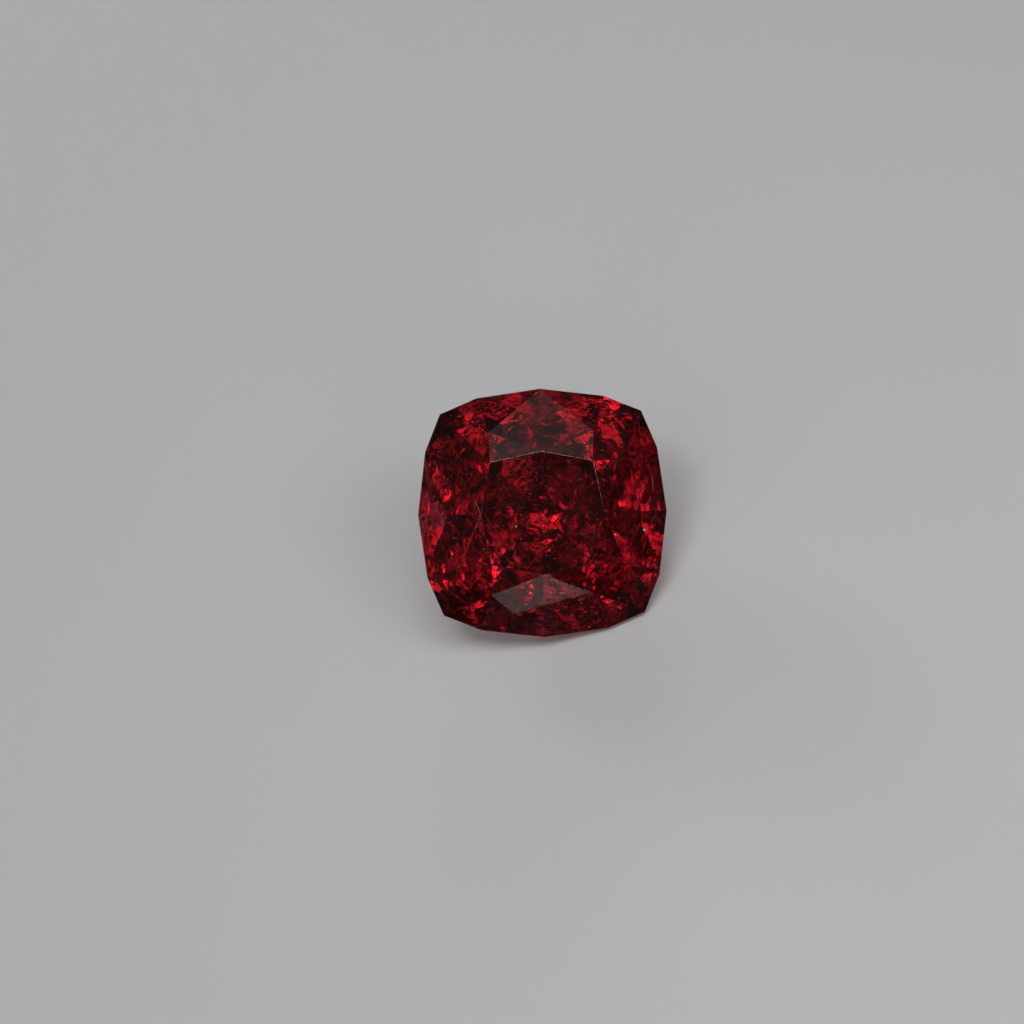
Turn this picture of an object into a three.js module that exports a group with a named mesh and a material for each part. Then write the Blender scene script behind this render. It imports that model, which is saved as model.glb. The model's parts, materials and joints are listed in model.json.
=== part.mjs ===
// A loose cushion-cut garnet: one faceted stone, lying on one of its pavilion facets with the table tilted up.
// Millimetres and degrees, +Z up. The stone is drawn upright about its own axis, then laid down.
import * as THREE from "three";
import { ConvexGeometry } from "three/addons/geometries/ConvexGeometry.js";

// Driving dimensions
const WIDTH = 6.0; // across the girdle, from mid-side corner to mid-side corner
const GIRDLE_THICKNESS = 0.15;
const CROWN_ANGLE = 36; // side mains, measured from the girdle plane
const PAVILION_ANGLE = 41; // culet facets, measured from the girdle plane
const TABLE_SHARE = 0.495; // table's mid-side corner, as a share of the half width
const STAR_DEPTH = 0.315; // how far the star tips lie below the table, as a share of the crown height
const BOW_LENGTH = 0.51; // where the two girdle facets of a half side meet, as a share of the half width
const PAVILION_MEET = 0.55; // where the pavilion breaks end on the mid-side line, as a share of the half width

// Facet directions on a cutter's index wheel, counted from the middle of a side
const INDEX_TEETH = 96;
const BOW_INDEX = 2; // girdle and break facets next to the middle of a side
const STAR_INDEX = 3;
const SHOULDER_INDEX = 6; // girdle, break and culet facets next to a corner
const azimuth = (index) => (index / INDEX_TEETH) * 2 * Math.PI;

const GARNET_RED = 0x5c0a12;

// Girdle outline in the first eighth of the plan, from the middle of a side to the corner on the diagonal
const radius = WIDTH / 2;
const bowDrop = radius * BOW_LENGTH * Math.tan(azimuth(BOW_INDEX));
const middle = new THREE.Vector2(radius, 0);
const shoulder = new THREE.Vector2(radius - bowDrop, radius * BOW_LENGTH);
const shoulderSlope = Math.tan(azimuth(SHOULDER_INDEX));
const cornerReach = (shoulder.x + shoulder.y * shoulderSlope) / (1 + shoulderSlope);
const corner = new THREE.Vector2(cornerReach, cornerReach);

// Crown: the table, the stars' tips, and the two kinds of main facet that meet along a line through each tip
const tableMiddle = radius * TABLE_SHARE;
const crownHeight = (radius - tableMiddle) * Math.tan(THREE.MathUtils.degToRad(CROWN_ANGLE));
const tableHeight = GIRDLE_THICKNESS + crownHeight;
const tableCorner = tableMiddle / (1 + Math.tan(azimuth(STAR_INDEX)));
const tipOnSideMain = THREE.MathUtils.lerp(tableMiddle, radius, STAR_DEPTH);
const tipOnCornerMain = 2 * THREE.MathUtils.lerp(tableCorner, cornerReach, STAR_DEPTH);
const starTip = new THREE.Vector2(tipOnSideMain, tipOnCornerMain - tipOnSideMain);
const starTipHeight = tableHeight - STAR_DEPTH * crownHeight;

// Pavilion: eight culet facets, and the break facets that run from the girdle to the mid-side lines
const pavilionSlope = Math.tan(THREE.MathUtils.degToRad(PAVILION_ANGLE));
const shoulderNormal = new THREE.Vector2(Math.cos(azimuth(SHOULDER_INDEX)), Math.sin(azimuth(SHOULDER_INDEX)));
const depthAt = (point) => (shoulder.dot(shoulderNormal) - point.dot(shoulderNormal)) * pavilionSlope;
const breakMeet = new THREE.Vector2(radius * PAVILION_MEET, 0);
const culet = new THREE.Vector2(0, 0);

// Every meet point of the first eighth, with its height above the girdle's lower edge
const EIGHTH = [
  [new THREE.Vector2(tableMiddle, 0), tableHeight],
  [new THREE.Vector2(tableCorner, tableCorner), tableHeight],
  [starTip, starTipHeight],
  [middle, GIRDLE_THICKNESS],
  [shoulder, GIRDLE_THICKNESS],
  [corner, GIRDLE_THICKNESS],
  [middle, 0],
  [shoulder, 0],
  [corner, 0],
  [breakMeet, -depthAt(breakMeet)],
  [culet, -depthAt(culet)],
];

// The whole stone's meet points: each eighth and its mirror image, turned to the four sides
function meetPoints() {
  const points = new Map();
  for (let side = 0; side < 4; side++) {
    for (const mirror of [1, -1]) {
      for (const [plan, height] of EIGHTH) {
        const turned = new THREE.Vector2(plan.x, plan.y * mirror).rotateAround(culet, (side * Math.PI) / 2);
        const point = new THREE.Vector3(turned.x, turned.y, height);
        points.set(point.toArray().map((value) => (value + 0).toFixed(6)).join(), point);
      }
    }
  }
  return [...points.values()];
}

// A brilliant-style stone is convex, so its solid is the hull of its meet points
function faceted() {
  const material = new THREE.MeshStandardMaterial({ color: GARNET_RED, roughness: 0.05, metalness: 0 });
  const stone = new THREE.Mesh(new ConvexGeometry(meetPoints()), material);
  stone.name = "garnet";
  return stone;
}

// Turns a culet facet to the front, tips the stone back onto it, and centres the stone's box over the origin
function laidDown(stone) {
  stone.rotation.set(THREE.MathUtils.degToRad(PAVILION_ANGLE), 0, -azimuth(SHOULDER_INDEX));
  const box = new THREE.Box3().setFromObject(stone, true);
  const centre = box.getCenter(new THREE.Vector3());
  stone.position.set(-centre.x, -centre.y, -box.min.z);
  return stone;
}

const garnet = new THREE.Group();
garnet.add(laidDown(faceted()));

export default garnet;
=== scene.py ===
"""A loose cushion-cut garnet, dressed for the render.

It has polished facets, a deep red body colour and natural inclusions. Metres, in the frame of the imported
model. Places inside the stone are given in its own axes: the origin is the middle of the table, +Z is out of
the table, and X and Y run along the sides of the cushion.
"""
import json
import math

import bmesh
import bpy
import numpy as np
from mathutils import Matrix, Quaternion, Vector


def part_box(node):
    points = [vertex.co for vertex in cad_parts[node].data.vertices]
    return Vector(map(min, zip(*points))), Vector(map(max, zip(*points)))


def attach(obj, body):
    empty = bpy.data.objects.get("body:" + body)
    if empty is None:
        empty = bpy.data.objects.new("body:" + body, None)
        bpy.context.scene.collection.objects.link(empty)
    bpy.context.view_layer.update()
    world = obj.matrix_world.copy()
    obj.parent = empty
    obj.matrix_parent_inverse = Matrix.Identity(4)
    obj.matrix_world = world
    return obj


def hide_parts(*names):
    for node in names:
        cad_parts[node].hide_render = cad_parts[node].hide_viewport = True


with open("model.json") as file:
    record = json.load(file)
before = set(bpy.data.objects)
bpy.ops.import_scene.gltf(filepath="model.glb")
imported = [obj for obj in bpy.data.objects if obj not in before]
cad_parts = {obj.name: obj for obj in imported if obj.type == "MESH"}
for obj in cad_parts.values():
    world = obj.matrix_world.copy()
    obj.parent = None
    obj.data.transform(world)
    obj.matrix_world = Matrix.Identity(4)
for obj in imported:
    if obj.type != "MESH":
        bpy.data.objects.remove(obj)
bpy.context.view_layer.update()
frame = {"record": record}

MM = 0.001

# The photograph's framing, in its own pixels, and the camera
IMAGE_SIZE = 1024
STONE_CENTRE_PX = (542.5, 513.0)
STONE_WIDTH_PX = 249.8
PHOTO_TURN = math.radians(1.1)
CAMERA_DISTANCE = 250 * MM
SENSOR_WIDTH = 36.0
NEAREST_SEEN = 1 * MM
FARTHEST_SEEN = 2.0
LIGHT_BOUNCES = 32

# The stone's own sizes and stance
STONE_WIDTH = 6.0 * MM
SIDE_TURN = math.radians(-22.5)
EDGE_WEAR = 0.0065 * MM
SAME_CORNER = 0.001 * MM
SAME_FACET = math.radians(0.5)

# How far a facet's normal points along the table's: below the first it is pavilion, above the second crown
PAVILION_LEAN = -0.1
CROWN_LEAN = 0.1

# Polish: ripples on the pavilion, and a haze that follows the noise from its low to its high value
RIPPLE_LENGTH = 0.8 * MM
RIPPLE_HEIGHT = 0.039 * MM
RIPPLE_DETAIL = 2.0
HAZE_LENGTH = 0.3 * MM
HAZE_DETAIL = 3.0
HAZE_NOISE = (0.35, 0.7)
HAZE_ROUGHNESS = (0.02, 0.09)

# Body colour
BODY_TINT = (0.785, 0.065, 0.215, 1.0)
BODY_DENSITY = 740.0

# Mottled colour: its detail, the noise between its two shades, and each material's length and shades
MOTTLE_DETAIL = 2.0
MOTTLE_NOISE = (0.35, 0.65)
DARK_CRYSTAL_MOTTLE = (0.15 * MM, (0.006, 0.003, 0.003, 1.0), (0.045, 0.016, 0.011, 1.0))
PALE_RESIDUE_MOTTLE = (0.02 * MM, (0.8, 0.74, 0.71, 1.0), (0.95, 0.93, 0.92, 1.0))

# Constant shader values; the index of what lies inside the stone is relative to the garnet around it
CLEAR = {"Base Color": (1.0, 1.0, 1.0, 1.0), "Transmission Weight": 1.0}
GARNET = {**CLEAR, "IOR": 1.77}
CLEAR_CRYSTAL = {**CLEAR, "IOR": 1.1, "Roughness": 0.05}
FLUID_DROPLET = {**CLEAR, "IOR": 1.33, "Roughness": 0.05}
DARK_CRYSTAL = {"Roughness": 0.35}
PALE_RESIDUE = {"Roughness": 0.45}
FLOOR = {"Base Color": (0.78, 0.78, 0.785, 1.0), "Roughness": 0.7, "Specular IOR Level": 0.2}
FLAG = {"Base Color": (0.06, 0.06, 0.06, 1.0), "Roughness": 0.9, "Specular IOR Level": 0.1}

# Grains: how lumpy they are, how far they stay below the facets, and how many radii they stay apart
LUMP_PITCH = 1.6
LUMP_HEIGHT = 0.25
SKIN = 0.01 * MM
RADII_BELOW_FACETS = 1.4
RADII_APART = 1.3

# Dark crystals, in loose hollow clouds: the smallest cloud and the hollow are shares of the reach
DARK_SEED = 23
CLOUD_TRIES = 520
CLOUD_GRAINS = 44
CLOUD_REACH = 0.5 * MM
CLOUD_LEAST = 0.3
CLOUD_HOLLOW = 0.35
DARK_RADII = (0.006 * MM, 0.052 * MM)
DARK_RARITY = 3.0

# Clear crystals, scattered one by one
CLEAR_SEED = 11
CLEAR_TRIES = 520
CLEAR_RADII = (0.012 * MM, 0.06 * MM)
CLEAR_RARITY = 2.0

# Fingerprints: rows of droplets, their waves, and each sheet's middle, width, lean and spin in degrees
FINGERPRINT_SEED = 37
ROW_PITCH = 0.055 * MM
ROW_JITTER = 0.006 * MM
DROPLET_PITCH = 0.03 * MM
DROPLET_JITTER = 0.008 * MM
DROPLETS_KEPT = 0.7
DROPLET_RADII = (0.004 * MM, 0.012 * MM)
DROPLET_RARITY = 2.0
BOW_HEIGHT = 0.10 * MM
BOW_LENGTH = 0.23 * MM
CURL_HEIGHT = 0.06 * MM
CURL_LENGTH = 0.4 * MM
FINGERPRINTS = (
    ((-0.55 * MM, 0.75 * MM, -0.45 * MM), 1.3 * MM, 25, 20),
    ((-0.85 * MM, -0.95 * MM, -0.55 * MM), 0.9 * MM, -30, 60),
    ((0.95 * MM, -0.25 * MM, -0.9 * MM), 1.1 * MM, 40, -35),
    ((1.5 * MM, 1.4 * MM, -1.3 * MM), 0.8 * MM, -20, 10),
)

# Pits in the polish: three large ones at their own places, and small ones anywhere
PIT_SEED = 5
LARGE_PITS = [(1.74 * MM, -0.55 * MM), (2.44 * MM, -0.46 * MM), (-0.64 * MM, -0.31 * MM)]
LARGE_PIT_RADIUS = 0.036 * MM
SMALL_PITS = 20
SMALL_PIT_REACH = 2.4 * MM
SMALL_PIT_RADIUS = 0.012 * MM
PIT_SINK = 0.3

# The floor
FLOOR_RADIUS = 75 * MM
FLOOR_SIDES = 96
FLOOR_GAP = 0.02 * MM

# The flag: a dark card around the stone, turned up over some angles around it
FLAG_REACH = 5.6 * MM
FLAG_HEIGHT = 4.0 * MM
FLAG_WALLS = ((-100, 5), (-165, -130))
FLAG_STEPS = 36

# Lights: degrees around the table's axis, degrees off it, degrees across, and radiance
LIGHT_DISTANCE = 70 * MM
FRONT_LIGHTS = {
    "top_light": (88, 61, 44, 0.165),
    "overhead_light": (100, 31, 50, 1.0),
    "key_light": (84, 32, 34, 0.7),
    "right_light": (30, 34, 34, 1.23),
}
BACK_LIGHT_DISTANCE = 80 * MM
BACK_LIGHTS = {
    "back_light": (135, 110, 28, 3.9),
    "rim_light": (90, 112, 28, 2.4),
}

# Rings of lights around the table's axis: degrees off it, degrees across, and (degrees around, radiance)
INNER_RING = (13, 15, ((17, 0.6), (197, 0.18), (265, 0.16)))
MIDDLE_RING = (22, 16, ((45, 2.0), (135, 4.2), (225, 1.25), (315, 1.5)))
OUTER_RING = (39, 26, ((45, 0.95), (135, 2.95), (180, 0.55), (225, 0.75), (270, 0.23), (315, 0.7)))
LOW_RING = (59, 10, ((0, 3.2), (180, 3.2)))

# A light's face: full strength within the core, none at the edge, in shares of its width
DIFFUSER_CORE = 0.1
DIFFUSER_EDGE = 0.5
DIFFUSER_PEAK = 1.6
SURROUNDINGS = (0.0325, 0.0325, 0.0335, 1.0)


def mount(name):
    return next(entry for entry in frame["record"]["mounts"] if entry["name"] == name)


def stone_axes():
    """The stone's own axes in the model's frame, with the origin in the middle of the table."""
    table = mount("table_facet")
    lean = math.acos(table["axis"][2])
    turned = Matrix.Rotation(lean, 4, "X") @ Matrix.Rotation(SIDE_TURN, 4, "Z")
    return Matrix.Translation(table["pos_m"]) @ turned


STONE = stone_axes()
STONE_TURN = np.array(STONE.to_3x3())
TABLE_MIDDLE = np.array(STONE.translation)
OUT_OF_TABLE = STONE.col[2].to_3d()
CUT = bpy.data.objects["garnet"].data
FACET_NORMALS = np.array([facet.normal for facet in CUT.polygons])
FACET_OFFSETS = np.einsum("ij,ij->i", FACET_NORMALS, np.array([facet.center for facet in CUT.polygons]))


def to_model(points):
    """Points in the stone's own axes, in the model's frame."""
    return np.asarray(points) @ STONE_TURN.T + TABLE_MIDDLE


def depth_inside(points):
    """How far each point of the model's frame lies below the nearest facet; negative outside the stone."""
    return (FACET_OFFSETS - np.asarray(points) @ FACET_NORMALS.T).min(axis=1)


# Materials
def shader_inputs(material):
    return material.node_tree.nodes["Principled BSDF"].inputs


def new_material(name, values):
    """A new material with constant values on its shader's own sockets."""
    material = bpy.data.materials.new(name)
    material.use_nodes = True
    inputs = shader_inputs(material)
    for socket, value in values.items():
        inputs[socket].default_value = value
    return material


def noise(tree, length, detail):
    """Soft natural unevenness over a given length, fixed to the piece."""
    place = tree.nodes.new("ShaderNodeTexCoord")
    texture = tree.nodes.new("ShaderNodeTexNoise")
    texture.inputs["Scale"].default_value = 1 / length
    texture.inputs["Detail"].default_value = detail
    tree.links.new(place.outputs["Object"], texture.inputs["Vector"])
    return texture.outputs["Fac"]


def ripple(material):
    """Uneven polish on the pavilion: broad, shallow ripples that break up the light its facets throw back."""
    tree = material.node_tree
    share = tree.nodes.new("ShaderNodeAttribute")
    share.attribute_name = "pavilion"
    bump = tree.nodes.new("ShaderNodeBump")
    bump.inputs["Distance"].default_value = RIPPLE_HEIGHT
    tree.links.new(noise(tree, RIPPLE_LENGTH, RIPPLE_DETAIL), bump.inputs["Height"])
    tree.links.new(share.outputs["Fac"], bump.inputs["Strength"])
    tree.links.new(bump.outputs["Normal"], shader_inputs(material)["Normal"])


def haze(material):
    """Fine wear that dulls the polish a little more in some places than in others."""
    tree = material.node_tree
    dulling = tree.nodes.new("ShaderNodeMapRange")
    dulling.inputs["From Min"].default_value = HAZE_NOISE[0]
    dulling.inputs["From Max"].default_value = HAZE_NOISE[1]
    dulling.inputs["To Min"].default_value = HAZE_ROUGHNESS[0]
    dulling.inputs["To Max"].default_value = HAZE_ROUGHNESS[1]
    tree.links.new(noise(tree, HAZE_LENGTH, HAZE_DETAIL), dulling.inputs["Value"])
    tree.links.new(dulling.outputs["Result"], shader_inputs(material)["Roughness"])


def mottle(material, length, dark, pale):
    """Colour that wanders between two shades over a given length."""
    tree = material.node_tree
    shades = tree.nodes.new("ShaderNodeValToRGB")
    for stop, position, colour in zip(shades.color_ramp.elements, MOTTLE_NOISE, (dark, pale)):
        stop.position = position
        stop.color = colour
    tree.links.new(noise(tree, length, MOTTLE_DETAIL), shades.inputs["Fac"])
    tree.links.new(shades.outputs["Color"], shader_inputs(material)["Base Color"])


def body_colour(material):
    """Deep red that grows with the way the light goes through the stone."""
    tree = material.node_tree
    absorption = tree.nodes.new("ShaderNodeVolumeAbsorption")
    absorption.inputs["Color"].default_value = BODY_TINT
    absorption.inputs["Density"].default_value = BODY_DENSITY
    tree.links.new(absorption.outputs["Volume"], tree.nodes["Material Output"].inputs["Volume"])


def garnet_material():
    material = new_material("garnet", GARNET)
    ripple(material)
    haze(material)
    body_colour(material)
    return material


def mottled_material(name, values, look):
    material = new_material(name, values)
    mottle(material, *look)
    return material


# The stone
def add_piece(name, mesh, material):
    piece = bpy.data.objects.new(name, mesh)
    bpy.context.collection.objects.link(piece)
    mesh.materials.append(material)
    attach(piece, "root")
    return piece


def in_pavilion(facet):
    return facet.normal.dot(OUT_OF_TABLE) < PAVILION_LEAN


def faceted_stone():
    """The cut stone with flat facets, and finely worn edges on the table, the crown and the girdle."""
    mesh = bpy.data.meshes.new("cut_stone")
    shape = bmesh.new()
    shape.from_mesh(CUT)
    bmesh.ops.remove_doubles(shape, verts=shape.verts, dist=SAME_CORNER)
    bmesh.ops.dissolve_limit(
        shape, angle_limit=SAME_FACET, verts=shape.verts, edges=shape.edges, use_dissolve_boundaries=False
    )
    upper = [edge for edge in shape.edges if not all(in_pavilion(facet) for facet in edge.link_faces)]
    worn = bmesh.ops.bevel(
        shape, geom=upper, offset=EDGE_WEAR, offset_type="OFFSET", segments=2, profile=0.5,
        affect="EDGES", clamp_overlap=True,
    )
    for strip in worn["faces"]:
        strip.smooth = True
    bmesh.ops.recalc_face_normals(shape, faces=shape.faces[:])
    shape.to_mesh(mesh)
    shape.free()
    share = mesh.attributes.new("pavilion", "FLOAT", "FACE")
    for facet in mesh.polygons:
        share.data[facet.index].value = float(in_pavilion(facet))
    stone = add_piece("cut_stone", mesh, garnet_material())
    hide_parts("garnet")


# Inclusions
def ball(subdivisions):
    """A unit ball's corners and triangles."""
    shape = bmesh.new()
    bmesh.ops.create_icosphere(shape, subdivisions=subdivisions, radius=1.0)
    corners = np.array([corner.co for corner in shape.verts])
    faces = np.array([[corner.index for corner in face.verts] for face in shape.faces])
    shape.free()
    return corners, faces


def random_turn(rng):
    return np.array(Quaternion(rng.normal(size=4)).normalized().to_matrix())


def random_radii(rng, count, radii, rarity):
    """Radii between two sizes; the higher the rarity, the fewer are large."""
    least, most = radii
    return least + (most - least) * rng.uniform(size=count) ** rarity


def joined(name, bodies, faces, material, smooth):
    """One mesh of separate bodies that share the same faces."""
    mesh = bpy.data.meshes.new(name)
    first_corners = np.arange(len(bodies)) * len(bodies[0])
    all_faces = (faces + first_corners[:, None, None]).reshape(-1, faces.shape[1])
    mesh.from_pydata(np.concatenate(bodies).tolist(), [], all_faces.tolist())
    if smooth:
        mesh.shade_smooth()
    add_piece(name, mesh, material)


def grains(name, places, radii, material, rng, subdivisions, stretch, smooth):
    """Separate lumpy grains, each stretched and turned its own way, at places of the model's frame."""
    corners, faces = ball(subdivisions)
    bodies = []
    for place, radius in zip(places, radii):
        wave = rng.normal(size=(3, 3)) * LUMP_PITCH
        phase = rng.uniform(0, 2 * math.pi, size=3)
        swell = 1 + LUMP_HEIGHT * np.sin(corners @ wave.T + phase).mean(axis=1)
        scale = np.exp(rng.normal(size=3) * stretch)
        scale /= scale.max()
        body = corners * swell[:, None] * scale * radius
        bodies.append(body @ random_turn(rng).T + place)
    joined(name, bodies, faces, material, smooth)


def inside(places, radii):
    return depth_inside(places) > RADII_BELOW_FACETS * radii + SKIN


def scattered(rng, tries, radii, rarity):
    """Places and radii of grains that lie inside the stone and apart from each other."""
    lowest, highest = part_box("garnet")
    candidates = rng.uniform(lowest, highest, size=(tries, 3))
    sizes = random_radii(rng, tries, radii, rarity)
    fits = inside(candidates, sizes)
    kept_places = np.empty((0, 3))
    kept_radii = np.empty(0)
    for place, radius in zip(candidates[fits], sizes[fits]):
        gaps = np.linalg.norm(kept_places - place, axis=1)
        if (gaps > RADII_APART * (kept_radii + radius)).all():
            kept_places = np.vstack([kept_places, place])
            kept_radii = np.append(kept_radii, radius)
    return kept_places, kept_radii


def clouds(rng):
    """Places and radii of grains gathered in loose hollow clouds inside the stone."""
    middles, reaches = scattered(rng, CLOUD_TRIES, (CLOUD_LEAST * CLOUD_REACH, CLOUD_REACH), 1.0)
    steps = rng.normal(size=(len(middles), CLOUD_GRAINS, 3))
    steps /= np.linalg.norm(steps, axis=2, keepdims=True)
    steps *= rng.uniform(CLOUD_HOLLOW, 1.0, size=(len(middles), CLOUD_GRAINS, 1)) * reaches[:, None, None]
    places = (middles[:, None] + steps).reshape(-1, 3)
    radii = random_radii(rng, len(places), DARK_RADII, DARK_RARITY)
    fits = inside(places, radii)
    return places[fits], radii[fits]


def dark_crystals():
    rng = np.random.default_rng(DARK_SEED)
    places, radii = clouds(rng)
    material = mottled_material("dark_crystal", DARK_CRYSTAL, DARK_CRYSTAL_MOTTLE)
    grains("dark_crystals", places, radii, material, rng, subdivisions=1, stretch=0.5, smooth=False)


def clear_crystals():
    rng = np.random.default_rng(CLEAR_SEED)
    places, radii = scattered(rng, CLEAR_TRIES, CLEAR_RADII, CLEAR_RARITY)
    material = new_material("clear_crystal", CLEAR_CRYSTAL)
    grains("clear_crystals", places, radii, material, rng, subdivisions=2, stretch=0.45, smooth=True)


def fingerprint(rng, middle, across, lean, spin):
    """Rows of fine droplets on a gently curled healed fracture, in the model's frame."""
    rows = []
    for offset in np.arange(-0.5 * across, 0.5 * across, ROW_PITCH):
        half = math.sqrt(max(0.25 * across ** 2 - offset ** 2, 0.0))
        along = np.arange(-half, half, DROPLET_PITCH)
        along = along + rng.normal(size=len(along)) * DROPLET_JITTER
        bow = offset + BOW_HEIGHT * np.sin(along / BOW_LENGTH) + rng.normal(size=len(along)) * ROW_JITTER
        curl = CURL_HEIGHT * np.cos(along / CURL_LENGTH)
        rows.append(np.stack([along, bow, curl], axis=1))
    places = np.concatenate(rows)
    places = places[rng.uniform(size=len(places)) < DROPLETS_KEPT]
    turn = Matrix.Rotation(math.radians(spin), 3, "Z") @ Matrix.Rotation(math.radians(lean), 3, "X")
    return to_model(places @ np.array(turn).T + np.array(middle))


def fingerprints():
    """Healed fractures: sheets of fine droplets, seen as grey veils through the table and crown."""
    rng = np.random.default_rng(FINGERPRINT_SEED)
    places = np.concatenate([fingerprint(rng, *sheet) for sheet in FINGERPRINTS])
    radii = random_radii(rng, len(places), DROPLET_RADII, DROPLET_RARITY)
    fits = inside(places, radii)
    material = new_material("fluid_droplet", FLUID_DROPLET)
    grains("fingerprints", places[fits], radii[fits], material, rng, subdivisions=1, stretch=0.4, smooth=True)


def crown_height(plan):
    """How high the crown stands over a place in the stone's own plan."""
    normals = FACET_NORMALS @ STONE_TURN
    offsets = FACET_OFFSETS - FACET_NORMALS @ TABLE_MIDDLE
    crown = normals[:, 2] > CROWN_LEAN
    return ((offsets[crown] - normals[crown, :2] @ np.asarray(plan)) / normals[crown, 2]).min()


def pale_pits():
    """Tiny pits in the polish, filled with pale residue, that shine as white points."""
    rng = np.random.default_rng(PIT_SEED)
    plans = LARGE_PITS + list(rng.uniform(-SMALL_PIT_REACH, SMALL_PIT_REACH, size=(SMALL_PITS, 2)))
    radii = np.repeat([LARGE_PIT_RADIUS, SMALL_PIT_RADIUS], [len(LARGE_PITS), SMALL_PITS])
    places = [(x, y, crown_height((x, y)) - PIT_SINK * radius) for (x, y), radius in zip(plans, radii)]
    material = mottled_material("pale_residue", PALE_RESIDUE, PALE_RESIDUE_MOTTLE)
    grains("pale_pits", to_model(places), radii, material, rng, subdivisions=1, stretch=0.3, smooth=True)


# Studio
def floor():
    """A round pale table top, a hair below the stone."""
    mesh = bpy.data.meshes.new("floor")
    disc = bmesh.new()
    bmesh.ops.create_circle(disc, cap_ends=True, segments=FLOOR_SIDES, radius=FLOOR_RADIUS)
    bmesh.ops.translate(disc, verts=disc.verts[:], vec=(0, 0, -FLOOR_GAP))
    disc.to_mesh(mesh)
    disc.free()
    mesh.materials.append(new_material("floor", FLOOR))
    plane = bpy.data.objects.new("floor", mesh)
    bpy.context.collection.objects.link(plane)


def flag():
    """A dark card laid around the stone and turned up at both sides, seen only in reflections.

    It keeps the floor's gleam off the lower facets, other than the main one.
    """
    shape = bmesh.new()
    bmesh.ops.create_circle(shape, cap_ends=True, segments=FLAG_STEPS, radius=FLAG_REACH)
    for start, end in FLAG_WALLS:
        turns = np.radians(np.linspace(start, end, FLAG_STEPS))
        feet = [Vector((FLAG_REACH * math.cos(turn), FLAG_REACH * math.sin(turn), 0.0)) for turn in turns]
        low = [shape.verts.new(foot) for foot in feet]
        high = [shape.verts.new(foot + Vector((0.0, 0.0, FLAG_HEIGHT))) for foot in feet]
        for i in range(FLAG_STEPS - 1):
            shape.faces.new((low[i], low[i + 1], high[i + 1], high[i]))
    bmesh.ops.translate(shape, verts=shape.verts[:], vec=(0, 0, -0.5 * FLOOR_GAP))
    mesh = bpy.data.meshes.new("flag")
    shape.to_mesh(mesh)
    shape.free()
    mesh.materials.append(new_material("flag", FLAG))
    card = bpy.data.objects.new("flag", mesh)
    card.visible_camera = False
    card.visible_diffuse = False
    card.visible_transmission = False
    card.visible_shadow = False
    bpy.context.collection.objects.link(card)


def soften(light):
    """Lets the light fall off smoothly from its middle to its edge, as a diffuser does."""
    light.use_nodes = True
    nodes = light.node_tree.nodes
    links = light.node_tree.links
    place = nodes.new("ShaderNodeNewGeometry")
    reach = nodes.new("ShaderNodeVectorMath")
    reach.operation = "DISTANCE"
    reach.inputs[1].default_value = (0.5, 0.5, 0.0)
    falloff = nodes.new("ShaderNodeMapRange")
    falloff.interpolation_type = "SMOOTHSTEP"
    falloff.inputs["From Min"].default_value = DIFFUSER_EDGE
    falloff.inputs["From Max"].default_value = DIFFUSER_CORE
    falloff.inputs["To Max"].default_value = DIFFUSER_PEAK
    links.new(place.outputs["Parametric"], reach.inputs[0])
    links.new(reach.outputs["Value"], falloff.inputs["Value"])
    links.new(falloff.outputs["Result"], nodes["Emission"].inputs["Strength"])


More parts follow.
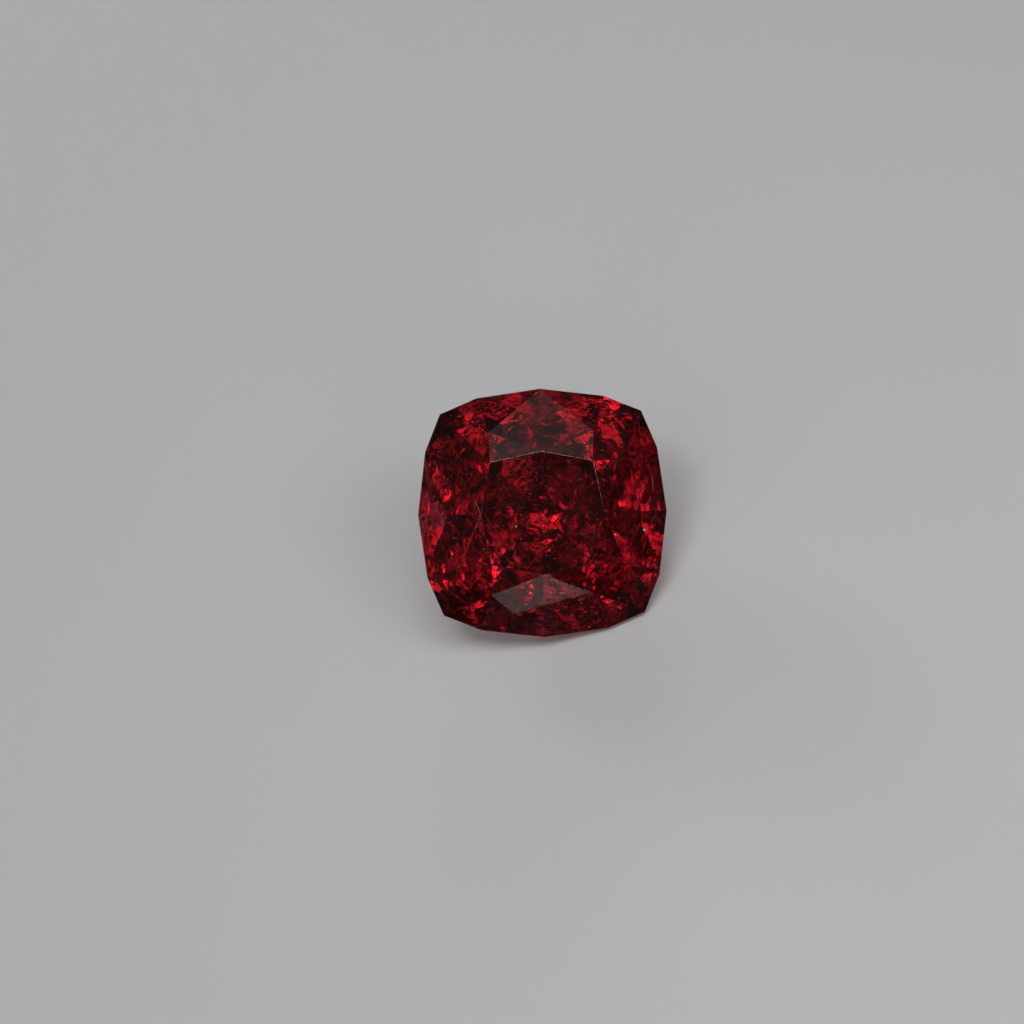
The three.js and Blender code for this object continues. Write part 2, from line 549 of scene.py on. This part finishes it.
def softbox(name, around, off_axis, across, radiance, distance):
    """A square light seen from the stone at an angle off the table's axis, around it from the stone's X."""
    lean = math.radians(off_axis)
    spin = math.radians(around)
    direction = Vector((math.sin(lean) * math.cos(spin), math.sin(lean) * math.sin(spin), math.cos(lean)))
    direction = (STONE.to_3x3() @ direction).normalized()
    size = 2 * distance * math.tan(math.radians(across) / 2)
    light = bpy.data.lights.new(name, "AREA")
    light.shape = "SQUARE"
    light.size = size
    light.energy = radiance * math.pi * size * size
    soften(light)
    lamp = bpy.data.objects.new(name, light)
    lamp.location = STONE.translation + direction * distance
    lamp.rotation_euler = direction.to_track_quat("Z", "Y").to_euler()
    lamp.visible_camera = False
    bpy.context.collection.objects.link(lamp)


def studio():
    for name, lamp in FRONT_LIGHTS.items():
        softbox(name, *lamp, LIGHT_DISTANCE)
    for name, lamp in BACK_LIGHTS.items():
        softbox(name, *lamp, BACK_LIGHT_DISTANCE)
    for off_axis, across, lamps in (INNER_RING, MIDDLE_RING, OUTER_RING, LOW_RING):
        for around, radiance in lamps:
            name = f"ring_light_{off_axis}_{around}"
            softbox(name, around, off_axis, across, radiance, LIGHT_DISTANCE)
    world = bpy.data.worlds.new("studio")
    world.use_nodes = True
    world.node_tree.nodes["Background"].inputs["Color"].default_value = SURROUNDINGS
    bpy.context.scene.world = world


def camera():
    """Looks straight at the table, framed and turned as in the photograph."""
    pixel = STONE_WIDTH / STONE_WIDTH_PX
    lens = bpy.data.cameras.new("camera")
    lens.sensor_width = SENSOR_WIDTH
    lens.lens = SENSOR_WIDTH * CAMERA_DISTANCE / (IMAGE_SIZE * pixel)
    lens.clip_start = NEAREST_SEEN
    lens.clip_end = FARTHEST_SEEN
    turned = STONE @ Matrix.Rotation(-PHOTO_TURN, 4, "Z")
    aim_x = (IMAGE_SIZE / 2 - STONE_CENTRE_PX[0]) * pixel
    aim_y = (STONE_CENTRE_PX[1] - IMAGE_SIZE / 2) * pixel
    viewer = bpy.data.objects.new("camera", lens)
    viewer.matrix_world = turned @ Matrix.Translation((aim_x, aim_y, CAMERA_DISTANCE))
    bpy.context.collection.objects.link(viewer)
    bpy.context.scene.camera = viewer


faceted_stone()
dark_crystals()
clear_crystals()
fingerprints()
pale_pits()
floor()
flag()
studio()
camera()
scene = bpy.context.scene
scene.view_settings.view_transform = "Standard"
scene.cycles.max_bounces = LIGHT_BOUNCES
scene.cycles.transmission_bounces = LIGHT_BOUNCES
scene.cycles.glossy_bounces = LIGHT_BOUNCES
scene.cycles.use_light_tree = False
